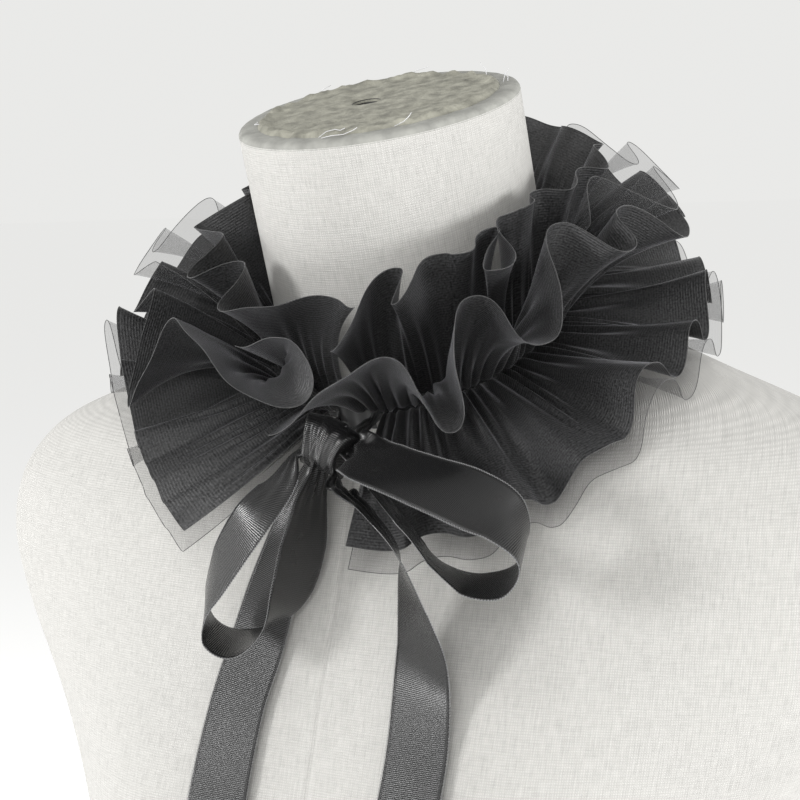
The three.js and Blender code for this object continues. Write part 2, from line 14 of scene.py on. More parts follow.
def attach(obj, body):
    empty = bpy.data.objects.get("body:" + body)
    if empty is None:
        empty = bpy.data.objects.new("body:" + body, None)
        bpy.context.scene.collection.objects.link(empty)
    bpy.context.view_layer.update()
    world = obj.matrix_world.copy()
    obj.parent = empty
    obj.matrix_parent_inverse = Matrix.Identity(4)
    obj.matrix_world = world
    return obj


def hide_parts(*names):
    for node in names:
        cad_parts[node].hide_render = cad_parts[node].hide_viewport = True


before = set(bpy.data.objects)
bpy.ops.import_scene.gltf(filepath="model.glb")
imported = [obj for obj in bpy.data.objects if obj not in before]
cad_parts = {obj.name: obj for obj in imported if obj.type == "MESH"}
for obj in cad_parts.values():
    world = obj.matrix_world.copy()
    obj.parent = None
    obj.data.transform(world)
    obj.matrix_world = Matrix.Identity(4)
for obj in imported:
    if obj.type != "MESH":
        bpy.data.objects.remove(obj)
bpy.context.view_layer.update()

MM = 0.001

# Neck of the form, as in the part's source
NECK_LEAN = math.radians(16)
NECK_BASE = np.array([0.0, 14.0, 432.0])
NECK_RADIUS = 57.6
NECK_LENGTH = 107
SIDE = np.array([1.0, 0.0, 0.0])
FRONT = np.array([0.0, -math.cos(NECK_LEAN), -math.sin(NECK_LEAN)])
AXIS = np.array([0.0, -math.sin(NECK_LEAN), math.cos(NECK_LEAN)])

# Seam ring of the collar
SEAM_MIDDLE = 12
SEAM_TILT = 14
ROOT_DROP = 4.6

RIBBON_WIDTH = 25
RIBBON_THICK = 0.4


def seam_height(angle):
    return SEAM_MIDDLE - SEAM_TILT * np.cos(np.radians(angle))


def ring_point(angle, radius, height):
    """Points on rings about the neck. Angle 0 is the front and 90 the form's left."""
    a = np.radians(np.asarray(angle, float))[..., None]
    r = np.asarray(radius, float)[..., None]
    h = np.asarray(height, float)[..., None]
    return NECK_BASE + r * (np.sin(a) * SIDE + np.cos(a) * FRONT) + h * AXIS


def ring_along(angle):
    a = np.radians(np.asarray(angle, float))[..., None]
    return np.cos(a) * SIDE - np.sin(a) * FRONT


def ring_out(angle, lift):
    """Unit vectors that leave the neck at a lift above the plane of the ring."""
    a = np.radians(np.asarray(angle, float))[..., None]
    b = np.radians(np.asarray(lift, float))[..., None]
    return np.cos(b) * (np.sin(a) * SIDE + np.cos(a) * FRONT) + np.sin(b) * AXIS


def unit(v):
    return v / np.maximum(np.linalg.norm(v, axis=-1, keepdims=True), 1e-9)


def lengths(points):
    """Distance along a line of points, from its first one."""
    steps = np.linalg.norm(np.diff(points, axis=0), axis=1)
    return np.concatenate([[0], np.cumsum(steps)])


def normals(grid):
    """Unit normal at each point of a grid."""
    return unit(np.cross(np.gradient(grid, axis=1), np.gradient(grid, axis=0)))


# Meshes


def mesh_object(name, points, faces, uv=None, weld=False):
    """A smooth mesh object from points in millimetres. uv holds a pair of millimetres for each."""
    mesh = bpy.data.meshes.new(name)
    mesh.from_pydata((np.asarray(points) * MM).tolist(), [], faces)
    if uv is not None:
        layer = mesh.uv_layers.new(name="flat")
        index = np.zeros(len(mesh.loops), np.int32)
        mesh.loops.foreach_get("vertex_index", index)
        layer.data.foreach_set("uv", (np.asarray(uv) * MM).astype(np.float32)[index].ravel())
    if weld:
        work = bmesh.new()
        work.from_mesh(mesh)
        bmesh.ops.remove_doubles(work, verts=work.verts, dist=1e-6)
        bmesh.ops.recalc_face_normals(work, faces=work.faces)
        work.to_mesh(mesh)
        work.free()
    mesh.shade_smooth()
    obj = bpy.data.objects.new(name, mesh)
    bpy.context.scene.collection.objects.link(obj)
    return obj


def grid_faces(rows, cols, wrap=False):
    """Quads over a grid whose points are numbered row by row."""
    faces = []
    for i in range(rows - 1):
        for j in range(cols if wrap else cols - 1):
            k = (j + 1) % cols
            faces.append((i * cols + j, i * cols + k, (i + 1) * cols + k, (i + 1) * cols + j))
    return faces


def grid_object(name, grid, uv):
    rows, cols = grid.shape[:2]
    return mesh_object(name, grid.reshape(-1, 3), grid_faces(rows, cols), uv.reshape(-1, 2))


def tube(line, radius, sides):
    """Points and faces of a thin tube along a line, closed at both ends."""
    tangent = unit(np.gradient(line, axis=0))
    normal = np.cross(tangent, AXIS)
    normal[np.linalg.norm(normal, axis=1) < 0.1] = SIDE
    normal = unit(normal)
    other = np.cross(tangent, normal)
    turn = 2 * np.pi * np.arange(sides) / sides
    ring = normal[:, None] * np.cos(turn)[None, :, None] + other[:, None] * np.sin(turn)[None, :, None]
    points = (line[:, None] + radius * ring).reshape(-1, 3)
    faces = grid_faces(len(line), sides, wrap=True)
    faces.append(tuple(range(sides))[::-1])
    faces.append(tuple(range(len(points) - sides, len(points))))
    return points, faces


def joined(parts):
    """One list of points and one of faces from several."""
    points, faces, first = [], [], 0
    for p, f in parts:
        points.append(p)
        faces.extend(tuple(i + first for i in face) for face in f)
        first += len(p)
    return np.concatenate(points), faces


# Materials. Spacings of threads and ribs are in metres
CHIFFON_RIBS = 0.0011
CHIFFON_THREADS = 0.0005
SATIN_RIBS = 0.0007
LINEN_WARP = 0.0009
LINEN_WEFT = 0.00095


class Look:
    """A material's node tree, with short calls that add to it."""

    def __init__(self, name, **surface):
        self.material = bpy.data.materials.new(name)
        self.material.use_nodes = True
        self.tree = self.material.node_tree
        self.tree.nodes.clear()
        self.shader = self.add("ShaderNodeBsdfPrincipled")
        out = self.add("ShaderNodeOutputMaterial")
        self.tree.links.new(self.shader.outputs["BSDF"], out.inputs["Surface"])
        for key, value in surface.items():
            self.shader.inputs[key.replace("_", " ")].default_value = value

    def add(self, kind, inputs=None, **settings):
        node = self.tree.nodes.new(kind)
        for key, value in settings.items():
            setattr(node, key, value)
        for key, value in (inputs or {}).items():
            if isinstance(value, bpy.types.NodeSocket):
                self.tree.links.new(value, node.inputs[key])
            else:
                node.inputs[key].default_value = value
        return node

    def math(self, operation, a, b=0.0):
        return self.add("ShaderNodeMath", {0: a, 1: b}, operation=operation).outputs[0]

    def plus(self, a, b):
        return self.math("ADD", a, b)

    def times(self, a, b):
        return self.math("MULTIPLY", a, b)

    def centred(self, value, share):
        """Value about zero, times a share."""
        return self.times(self.math("SUBTRACT", value, 0.5), share)

    def place(self, scale):
        """Flat coordinates of the cloth, in metres, times a scale for each axis."""
        uv = self.add("ShaderNodeUVMap", uv_map="flat").outputs["UV"]
        return self.add("ShaderNodeMapping", {"Vector": uv, "Scale": scale}).outputs["Vector"]

    def noise(self, scale, detail=2.0):
        fields = {"Vector": self.place(scale), "Scale": 1.0, "Detail": detail}
        return self.add("ShaderNodeTexNoise", fields).outputs["Fac"]

    def bands(self, spacing, across, distortion=0.0):
        """Soft lines one spacing apart, side by side across the strip or else along it."""
        # The wave texture has one band for each half turn of 20 units
        scale = math.pi / 10 / spacing
        fields = {"Vector": self.place((1, 1, 1)), "Scale": scale, "Distortion": distortion, "Detail": 1.0}
        way = "Y" if across else "X"
        return self.add("ShaderNodeTexWave", fields, bands_direction=way).outputs["Fac"]

    def ramp(self, value, low, high):
        """Value from 0 to 1 spread between two ends."""
        return self.add("ShaderNodeMapRange", {"Value": value, "To Min": low, "To Max": high}).outputs["Result"]

    def shade(self, color, factor):
        """A colour times a factor."""
        grey = self.add("ShaderNodeCombineColor", {"Red": factor, "Green": factor, "Blue": factor})
        fields = {0: 1.0, 6: color, 7: grey.outputs["Color"]}
        return self.add("ShaderNodeMix", fields, data_type="RGBA", blend_type="MULTIPLY").outputs[2]

    def set(self, name, value):
        self.tree.links.new(value, self.shader.inputs[name])

    def bump(self, height, strength, distance):
        fields = {"Height": height, "Strength": strength, "Distance": distance}
        self.set("Normal", self.add("ShaderNodeBump", fields).outputs["Normal"])


def chiffon(name, alpha, tone):
    """Crepe chiffon: fine threads both ways, faint ribs along the strip, a grain with painted glints, and a
    soft sheen.
    """
    look = Look(name, Roughness=0.4, Sheen_Weight=0.26, Sheen_Roughness=0.25)
    look.shader.inputs["Sheen Tint"].default_value = (0.9, 0.9, 0.95, 1)
    look.shader.inputs["Specular IOR Level"].default_value = 0.3
    ribs = look.bands(CHIFFON_RIBS, across=True, distortion=0.5)
    threads = look.bands(CHIFFON_THREADS, across=False)
    crepe_grain_and_glints = look.noise((1000, 1000, 1), 1.0)
    patch = look.noise((28, 40, 1), 2.0)
    weave = look.plus(look.times(ribs, 0.6), look.times(threads, 0.4))
    lines = look.times(look.centred(weave, 1.6), patch)
    # The crepe noise puts bright and dark dots in the colour: partly the crepe's grain, partly painted glints
    # of light on it.
    factor = look.plus(look.plus(1.0, lines), look.centred(crepe_grain_and_glints, 3.2))
    look.set("Base Color", look.shade((tone, tone, tone * 1.03, 1), factor))
    look.set("Alpha", look.plus(alpha, look.centred(weave, 0.03)))
    look.bump(look.plus(weave, look.times(crepe_grain_and_glints, 1.2)), 0.6, 0.0002)
    return look.material


def satin(name):
    """Black satin ribbon with fine ribs across it and a soft shine that spreads along it."""
    look = Look(name, Sheen_Weight=0.05, Sheen_Roughness=0.4, Anisotropic=0.6)
    look.shader.inputs["Specular IOR Level"].default_value = 0.6
    ribs = look.bands(SATIN_RIBS, across=False)
    patch = look.noise((60, 90, 1), 2.0)
    look.set("Base Color", look.shade((0.006, 0.006, 0.0063, 1), look.plus(0.6, look.times(ribs, 0.8))))
    look.set("Roughness", look.ramp(patch, 0.22, 0.3))
    look.set("Tangent", look.add("ShaderNodeTangent", direction_type="UV_MAP", uv_map="flat").outputs[0])
    look.bump(ribs, 0.5, 0.0002)
    return look.material


def thread(name, tone):
    """Plain dull thread, or anything small of one tone."""
    look = Look(name, Roughness=0.6, Sheen_Weight=0.3)
    fine = look.add("ShaderNodeTexNoise", {"Scale": 900.0, "Detail": 1.0}).outputs["Fac"]
    look.set("Base Color", look.shade((tone, tone, tone * 1.02, 1), look.ramp(fine, 0.7, 1.3)))
    return look.material


def linen(name, tone):
    """Plain natural linen with slubs down and across it."""
    look = Look(name, Roughness=0.9, Sheen_Weight=0.1, Sheen_Roughness=0.5)
    look.shader.inputs["Specular IOR Level"].default_value = 0.15
    warp = look.bands(LINEN_WARP, across=False, distortion=1.2)
    weft = look.bands(LINEN_WEFT, across=True, distortion=1.2)
    slub = look.noise((1100, 130, 1), 3.0)
    cross = look.noise((130, 1000, 1), 3.0)
    blotch = look.noise((14, 14, 1), 3.0)
    weave = look.times(warp, weft)
    down, over = (look.math("POWER", value, 2.0) for value in (slub, cross))
    dark = look.plus(look.times(down, 0.34), look.times(over, 0.2))
    factor = look.math("SUBTRACT", look.plus(0.97, look.times(weave, 0.2)), dark)
    factor = look.plus(factor, look.centred(blotch, 0.06))
    look.set("Base Color", look.shade(tone, factor))
    look.bump(look.plus(weave, look.times(look.plus(slub, cross), 1.2)), 0.4, 0.0003)
    return look.material


def card(name, tone, low, high, bump):
    """Paper and paste over the cut neck, mottled and wrinkled."""
    look = Look(name, Roughness=0.85)
    mottle = look.noise((150, 150, 1), 8.0)
    crease = look.noise((600, 600, 1), 4.0)
    look.set("Base Color", look.shade(tone, look.ramp(mottle, low, high)))
    look.bump(look.plus(crease, mottle), bump, 0.0008)
    return look.material


LOOKS = {
    "linen": linen("linen", (0.5, 0.492, 0.472, 1)),
    # The rim's tone is partly its own greyed linen and partly painted shade of the neck's top face.
    "rim": card("linen_rim_painted_shade", (0.27, 0.27, 0.25, 1), 0.5, 1.5, 0.3),
    # The card's tone is partly its own paper colour and partly painted shade of the neck's top face; its mottle
    # is its own.
    "card": card("card", (0.25, 0.245, 0.205, 1), 0, 2, 0.6),
    "chiffon": chiffon("chiffon", 0.992, 0.026),
    "solid_chiffon": thread("solid_chiffon", 0.02),
    "sheer": chiffon("sheer", 0.27, 0.05),
    "satin": satin("satin"),
    "edge": thread("edge_thread", 0.02),
    "picot": thread("picot_thread", 0.2),
    "linen_thread": thread("linen_thread", 0.6),
    # The hole's near-black tone is painted shade of a deep hole.
    "hole": thread("hole", 0.015),
}


def dress(obj, look, slot, *nodes):
    """Gives a piece its material and its body, and hides the solids that it stands for. The slot is not used.
    """
    obj.data.materials.append(LOOKS[look])
    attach(obj, "root")
    if nodes:
        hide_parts(*nodes)
    return obj


# Dress form. Sections as in the part's source: height, centre, forward tilt in degrees, half width,
# depth in front, depth behind and squareness
FORM = [
    (0, 0, 0, 126, 86, 78, 2.3),
    (30, 0, 0, 120, 83, 74, 2.2),
    (65, 1, 0, 120, 85, 74, 2.2),
    (115, 2, 0, 128, 93, 80, 2.2),
    (180, 4, 0, 142, 104, 90, 2.2),
    (235, 5, 0, 154, 105, 98, 2.2),
    (280, 7, 0, 176, 94, 101, 2.3),
    (320, 9, 0, 203, 81, 100, 2.3),
    (350, 10, 1, 215, 71, 96, 2.3),
    (375, 9, 3, 212, 62, 90, 2.2),
    (392, 8, 6, 200, 56, 84, 2.0),
    (405, 7, 10, 180, 52, 79, 1.9),
    (416, 6, 17, 148, 50, 73, 1.8),
    (427, 6, 25, 110, 52, 67, 1.8),
    (433, 7, 29, 82, 54, 65, 1.9),
]
BUST = {"x": 82, "z": 245, "wide": 44, "tall": 48, "rise": 12}
FORM_POINTS = 264
FORM_STEPS = 6
NECK_STEPS = 30
EDGE_ROUND = 2.2  # radius of the fold where the linen turns over the cut top
RIM_INNER = 43  # how far in the turned linen reaches
SEAM = {"depth": 0.8, "wide": 0.9, "lip": 0.35, "spread": 3.2}
SEAM_COLUMNS = (0.1, 0.22, 0.4, 0.65)  # shares of one step to each side of the middle of the front
PLAIN_COLUMNS = np.arange(FORM_POINTS + 1) / FORM_POINTS
CLOSE_COLUMNS = 0.5 + np.outer((-1, 1), SEAM_COLUMNS).ravel() / FORM_POINTS
# Turns about the form from the middle of the back to the same line again
FORM_TURNS = np.sort(np.concatenate([PLAIN_COLUMNS, CLOSE_COLUMNS]))
FORM_MIDDLE = int(np.argmin(np.abs(FORM_TURNS - 0.5)))


def form_ring(row):
    z, y, tilt, half, front, back, power = row
    t = math.radians(tilt)
    a = math.pi / 2 + 2 * np.pi * FORM_TURNS
    c, s = np.cos(a), np.sin(a)
    x = half * np.sign(c) * np.abs(c) ** (2 / power)
    deep = np.where(s < 0, front, back) * np.sign(s) * np.abs(s) ** (2 / power)
    ring = np.stack([x, y + deep * math.cos(t), z + deep * math.sin(t)], axis=1)
    u = (np.abs(x) - BUST["x"]) / BUST["wide"]
    v = (ring[:, 2] - BUST["z"]) / BUST["tall"]
    ring[:, 1] -= np.where(s < 0, BUST["rise"] * np.exp(-u * u - v * v) * np.minimum(1, -s * 2), 0)
    return ring


def between(rows, steps):
    """Rows with others added between each two, on a Catmull-Rom curve."""
    rows = np.array(rows, float)
    ends = np.concatenate([[2 * rows[0] - rows[1]], rows, [2 * rows[-1] - rows[-2]]])
    out = []
    for k in range(len(rows) - 1):
        a, b, c, d = ends[k : k + 4]
        for i in range(steps):
            t = i / steps
            bend = (2 * a - 5 * b + 4 * c - d) * t * t + (3 * b - a - 3 * c + d) * t**3
            out.append(0.5 * (2 * b + (c - a) * t + bend))
    return out + [rows[-1]]


def neck_rings():
    """Rings up the neck from its root on the shoulders and over the edge of the cut top."""
    angle = 180 + 360 * FORM_TURNS
    root = seam_height(angle) - ROOT_DROP
    top = NECK_LENGTH - EDGE_ROUND
    heights = [root + (top - root) * i / NECK_STEPS for i in range(NECK_STEPS + 1)]
    rings = [ring_point(angle, NECK_RADIUS, height) for height in heights]
    for turn in (30, 60, 90):
        r = math.radians(turn)
        inward = NECK_RADIUS - EDGE_ROUND * (1 - math.cos(r))
        rings.append(ring_point(angle, inward, top + EDGE_ROUND * math.sin(r) + 0 * angle))
    return rings


def build_form():
    rings = [form_ring(row) for row in between(FORM, FORM_STEPS)]
    chest_rows = len(rings)
    grid = np.array(rings + neck_rings())
    out = normals(grid)
    # The seam down the middle of the front, up to the root of the neck
    level = (np.arange(len(grid)) < chest_rows).astype(float)[:, None]
    x = grid[..., 0]
    front = grid[..., 1] < NECK_BASE[1]
    lips = SEAM["lip"] * np.exp(-((x / SEAM["spread"]) ** 2))
    groove = SEAM["depth"] * np.exp(-((x / SEAM["wide"]) ** 2))
    grid = grid + out * ((lips - groove) * front * level)[..., None]
    u = np.array([lengths(ring) for ring in grid])
    u = u - u[:, FORM_MIDDLE : FORM_MIDDLE + 1]
    v = lengths(grid[:, FORM_MIDDLE])[:, None] + 0 * u
    rows, cols = grid.shape[:2]
    points = grid.reshape(-1, 3)
    faces = grid_faces(rows, cols)
    faces.append(tuple(range(cols - 1))[::-1])
    uv = np.stack([u, v], axis=-1).reshape(-1, 2)
    obj = mesh_object("form_linen", points, faces, uv, weld=True)
    return dress(obj, "linen", "linen", "form_torso")


def lumps(points, size):
    """Smooth noise from -1 to 1 at each point, with features of that size in millimetres."""
    return np.array([noise.noise(Vector(p) / size) for p in points])


# Top of the neck, in rings: radius, height above the cut top, and height of the roughness
RIM = [
    # The rim's linen is drawn darker, partly its own grey and partly painted shade of the top; it starts a
    # little below the edge
    (NECK_RADIUS + 0.02, -2.6, 0),
    (NECK_RADIUS - 0.1, -1.4, 0),
    (NECK_RADIUS - 0.7, -0.4, 0.1),
    (NECK_RADIUS - 1.7, 0.15, 0.2),
    (54.5, 0.4, 0.3),
    (52, 0.4, 0.4),
    (49, 0.3, 0.4),
    (46, 0.1, 0.3),
    (RIM_INNER, -0.4, 0),
]
DISC = [
    (49.5, 0.2, 0.3), (49, 1.0, 0.9), (48, 1.8, 1.5), (47, 2.1, 1.6), (45.5, 1.8, 1.3), (44, 1.3, 0.9),
    (42, 1.2, 0.8), (40, 1.3, 0.8), (37.5, 1.2, 0.8), (35, 1.2, 0.8), (32.5, 1.2, 0.8), (30, 1.3, 0.8),
    (27, 1.3, 0.8), (24, 1.4, 0.8), (21, 1.3, 0.7), (18, 1.3, 0.7), (15, 1.1, 0.6), (12, 1.1, 0.6),
    (10, 1.1, 0.5), (8.5, 1.0, 0.4), (7.5, 0.9, 0.3), (6.6, 0.7, 0.2), (6, 0.2, 0.1), (5.6, -1, 0),
]
# The hole is a shallow cup drawn near-black, as painted shade of a deep hole.
HOLE = [(5.9, 0.2, 0), (5.7, -4, 0), (0.1, -4.5, 0)]
HOLE_ASIDE = {"side": -11, "front": -8, "even": 46}  # the hole off the middle, and the radius that stays
DISC_POINTS = 180
ROUGH = {"coarse": 6, "fine": 2.3, "fine_share": 0.5}  # sizes of the lumps, and the weight of the fine ones


def neck_disc(name, rings, look, slot, *nodes):
    """A ring or disc on the cut top of the neck, with a rough surface."""
    radii, rises, rough = (np.array(column, float) for column in zip(*rings))
    angle = 360 * np.arange(DISC_POINTS + 1) / DISC_POINTS
    grid = np.array([ring_point(angle, r, NECK_LENGTH + h + 0 * angle) for r, h in zip(radii, rises)])
    aside = np.clip(1 - radii / HOLE_ASIDE["even"], 0, 1)[:, None, None]
    grid = grid + aside * (HOLE_ASIDE["side"] * SIDE + HOLE_ASIDE["front"] * FRONT)
    flat = grid.reshape(-1, 3)
    rise = lumps(flat, ROUGH["coarse"]) + ROUGH["fine_share"] * lumps(flat, ROUGH["fine"])
    rise = rise.reshape(grid.shape[:2])
    rise[:, -1] = rise[:, 0]
    grid = grid + AXIS * (rise * rough[:, None])[..., None]
    local = grid - NECK_BASE
    uv = np.stack([local @ SIDE, local @ FRONT], axis=-1).reshape(-1, 2)
    obj = mesh_object(name, grid.reshape(-1, 3), grid_faces(*grid.shape[:2]), uv, weld=True)
    return dress(obj, look, slot, *nodes)


# Loose threads of the turned linen: angle, radius and height up the neck along each one
THREADS = [
    [(2, 51, 107.6), (5, 49, 109.2), (9, 48, 109.6), (12, 49.5, 109.3), (14, 48.5, 109.8)],
    [(4, 52, 107.6), (9, 53, 108.4), (14, 52, 108.2), (18, 50, 108.9), (20, 50.5, 109.8)],
    [(36, 50, 107.8), (40, 51.5, 109.2), (43, 50, 110.4), (45, 47.5, 111)],
    [(141, 49, 107.8), (143, 50, 110.5), (146, 49.5, 112), (149, 51, 112.6)],
    [(117, 51, 107.8), (118, 52, 110.2), (116, 53, 112), (118, 54, 113)],
    [(120, 53, 107.6), (122, 53.5, 109), (126, 52.5, 109.8), (130, 53, 109.3)],
    [(-168, 48, 108), (-171, 49, 110), (-175, 48.5, 110.8), (-178, 49.5, 111.2)],
    [(-120, 48, 108), (-123, 49.5, 109.6), (-127, 49, 110.4)],
    [(-62, 50, 107.8), (-58, 49, 109.2), (-52, 50.5, 109.4), (-48, 49, 109.9)],
]
THREAD_RADIUS = 0.16
THREAD_SIDES = 5


def build_neck_top():
    neck_disc("form_neck_rim", RIM, "rim", "linen")
    neck_disc("form_neck_disc", DISC, "card", "neck_disc", "form_neck_cap")
    neck_disc("form_neck_hole", HOLE, "hole", "neck_disc")
    threads = [tube(ring_point(*np.array(row, float).T), THREAD_RADIUS, THREAD_SIDES) for row in THREADS]
    dress(mesh_object("form_neck_threads", *joined(threads)), "linen_thread", "neck_disc")


# Collar. Each row is one fold of a strip's free edge, as in the part's source: angle at the seam,
# angle at the edge, lift, roundness and reach
UPPER_OUTER = [
    (2, 1, 15, 20, 60), (16, 23, 38, 50, 61), (30, 33, 9, 36, 62), (40, 42, 53, 46, 60),
    (53, 53, 27, 52, 62), (64, 71, 66, 44, 60), (75, 79, 40, 44, 62), (86, 89, 54, 44, 60),
    (99, 103, 24, 44, 59), (111, 115, 34, 34, 56), (123, 126, 14, 34, 57), (135, 138, 30, 34, 56),
    (147, 149, 12, 36, 58), (159, 161, 28, 36, 58), (171, 172, 12, 36, 60), (-177, -177, 28, 36, 60),
    (-165, -165, 12, 36, 60), (-153, -152, 28, 36, 60), (-140, -139, 12, 36, 60), (-127, -125, 30, 36, 60),
    (-114, -112, 14, 36, 60), (-101, -98, 34, 36, 60), (-88, -84, 20, 36, 61), (-77, -71, 46, 34, 60),
    (-66, -62, 30, 24, 61), (-59, -55, 48, 26, 60), (-52, -45, 6, 30, 62), (-42, -33, 49, 40, 60),
    (-27, 3, 25, 66, 58), (-12, 2, 50, -34, 60), (-6, -16, 50, -24, 50),
]
UPPER_INNER = [
    (6, 12, 41, 14, 56), (18, 27, 74, 34, 59), (29, 26, 55, 18, 58), (38, 38, 74, 30, 59),
    (46, 46, 70, 26, 59), (52, 57, 76, 40, 59), (58, 51, 56, 56, 58), (65, 64, 80, 36, 59),
    (73, 73, 76, 26, 59), (81, 82, 82, 26, 57), (90, 91, 70, 28, 56), (101, 102, 72, 30, 55),
    (112, 112, 60, 30, 54), (123, 124, 63, 30, 54), (134, 134, 55, 30, 54), (145, 146, 62, 30, 54),
    (156, 156, 55, 30, 54), (167, 168, 64, 30, 55), (178, 178, 58, 30, 55), (-171, -172, 68, 30, 56),
    (-160, -160, 66, 30, 56), (-149, -150, 76, 30, 56), (-138, -138, 68, 30, 56), (-127, -128, 78, 30, 56),
    (-116, -116, 70, 30, 56), (-105, -106, 80, 30, 57), (-94, -94, 74, 30, 58), (-84, -85, 84, 26, 59),
    (-76, -76, 60, 30, 59), (-62, -56, 79, 34, 59), (-50, -43, 60, 32, 59), (-38, -30, 79, 34, 59),
    (-26, -19, 55, 36, 59), (-10, 8, 64, 34, 59), (-1, 17, 58, 14, 58),
]
UPPER_SHEER = [
    (80, 82, 58, 16, 52), (88, 92, 66, 30, 62), (100, 103, 33, 42, 62), (111, 115, 44, 36, 61),
    (123, 126, 23, 36, 61), (135, 138, 40, 36, 61), (147, 149, 21, 38, 63), (159, 161, 38, 38, 64),
    (171, 172, 21, 38, 66), (-177, -177, 38, 38, 66), (-165, -165, 21, 38, 66), (-153, -152, 38, 38, 66),
    (-140, -139, 21, 38, 66), (-127, -125, 40, 38, 66), (-114, -112, 23, 38, 66), (-101, -98, 46, 38, 67),
    (-88, -84, 34, 36, 68), (-77, -72, 56, 30, 68), (-67, -63, 42, 26, 68), (-60, -55, 54, 14, 66),
]
LOWER_OUTER = [
    (12, 10, -28, 8, 63), (19, 19, -33, 20, 63), (26, 27, -27, 24, 63), (33, 35, -34, 24, 63),
    (41, 43, -21, 24, 64), (48, 49, -28, 20, 65), (54, 56, -13, 28, 66), (62, 63, -14, 28, 66),
    (71, 71, 6, 34, 66), (80, 79, -7, 28, 65), (88, 88, 4, 28, 64), (96, 95, -8, 28, 64),
    (104, 104, 10, 34, 63), (112, 111, -10, 28, 63), (121, 121, 0, 30, 62), (130, 130, -12, 30, 62),
    (140, 140, 0, 30, 62), (150, 150, -12, 30, 62), (160, 160, 0, 30, 62), (170, 170, -12, 30, 62),
    (180, 180, 0, 30, 62), (-170, -170, -12, 30, 62), (-160, -160, 0, 30, 62), (-150, -150, -12, 30, 62),
    (-140, -140, 0, 30, 62), (-130, -130, -12, 30, 62), (-120, -120, 2, 30, 62), (-110, -110, -9, 30, 63),
    (-101, -100, 6, 28, 65), (-93, -91, -8, 28, 68), (-85, -83, 12, 26, 70), (-77, -75, -4, 26, 71),
    (-70, -67, 26, 26, 73), (-63, -61, 6, 24, 68), (-57, -55, 18, 24, 67), (-50, -49, -11, 22, 66),
    (-43, -46, -3, 20, 65), (-36, -42, -13, 14, 66), (-28, -37, -14, 16, 67), (-20, -33, -21, 14, 69),
    (-12, -29, -28, 12, 71),
]
# The lower sheer strip lies under the chiffon, fold for fold, and is cut longer
LOWER_SHEER = [(seam, rim, lift - 4, loop, reach + 5) for seam, rim, lift, loop, reach in LOWER_OUTER]

# Radius and height of each strip's seam, and the slope with which the strip leaves it
SEAMS = {
    "upper_inner": (60.6, 5, 88),
    "upper_sheer": (62.2, 3.6, 78),
    "upper_outer": (63.8, 2, 66),
    "lower_outer": (60, -0.6, 0),
    "lower_sheer": (60, -2.8, -6),
}
SEAM_ARC = 62  # mean radius of the seams
BOW = 0.5  # share of its length for which a strip keeps that slope
GATHER = {"spacing": 4.2, "from": 0.07, "full": 0.15, "gone": 0.8}
CASING = {"turn": 8, "radius": 59.6, "low": -7, "high": 7, "wave": 0.35, "across": 25, "up": 9}
RIPPLE = {"spacing": 33, "high": 0.7}
EDGE_THREAD = {"radius": 0.15, "sides": 4}
FOLD_STEPS = 30
DEPTH_STEPS = 28


def counted(folds):
    """Rows whose angles keep growing past the back of the neck."""
    turn, last, out = 0, -360, []
    for seam, rim, lift, loop, reach in folds:
        if seam + turn < last:
            turn += 360
        last = seam + turn
        out.append((seam + turn, rim + turn, lift, loop, reach))
    return out


def fold_edge(fold, radius, height):
    rim, lift, loop, reach = fold[1:]
    up = math.radians(lift)
    point = ring_point(rim, radius + reach * math.cos(up), seam_height(rim) + height + reach * math.sin(up))
    return point, ring_along(rim) * loop


def ruffle_grid(folds, seam):
    """Points of a gathered strip, seam first, with each column's angle at the seam."""
    radius, height, rise = seam
    rows = counted(folds)
    share = np.linspace(0, 1, DEPTH_STEPS + 1)[:, None, None]
    parts, angles = [], []
    for k, (a, b) in enumerate(zip(rows, rows[1:])):
        last = k == len(rows) - 2
        t = np.linspace(0, 1, FOLD_STEPS + 1)[: FOLD_STEPS + last]
        (pa, ta), (pb, tb) = fold_edge(a, radius, height), fold_edge(b, radius, height)
        w = t[:, None]
        edge = pa * (2 * w**3 - 3 * w**2 + 1) + ta * (w**3 - 2 * w**2 + w)
        edge = edge + pb * (3 * w**2 - 2 * w**3) + tb * (w**3 - w**2)
        angle = a[0] + (b[0] - a[0]) * t
        lift = a[2] + (b[2] - a[2]) * t
        start = ring_point(angle, radius, seam_height(angle) + height)
        far = np.linalg.norm(edge - start, axis=1, keepdims=True)
        hold = start + ring_out(angle, (rise + lift) / 2) * far * BOW
        parts.append(start * (1 - share) ** 2 + hold * 2 * share * (1 - share) + edge * share**2)
        angles.append(angle)
    return np.concatenate(parts, axis=1), np.concatenate(angles)


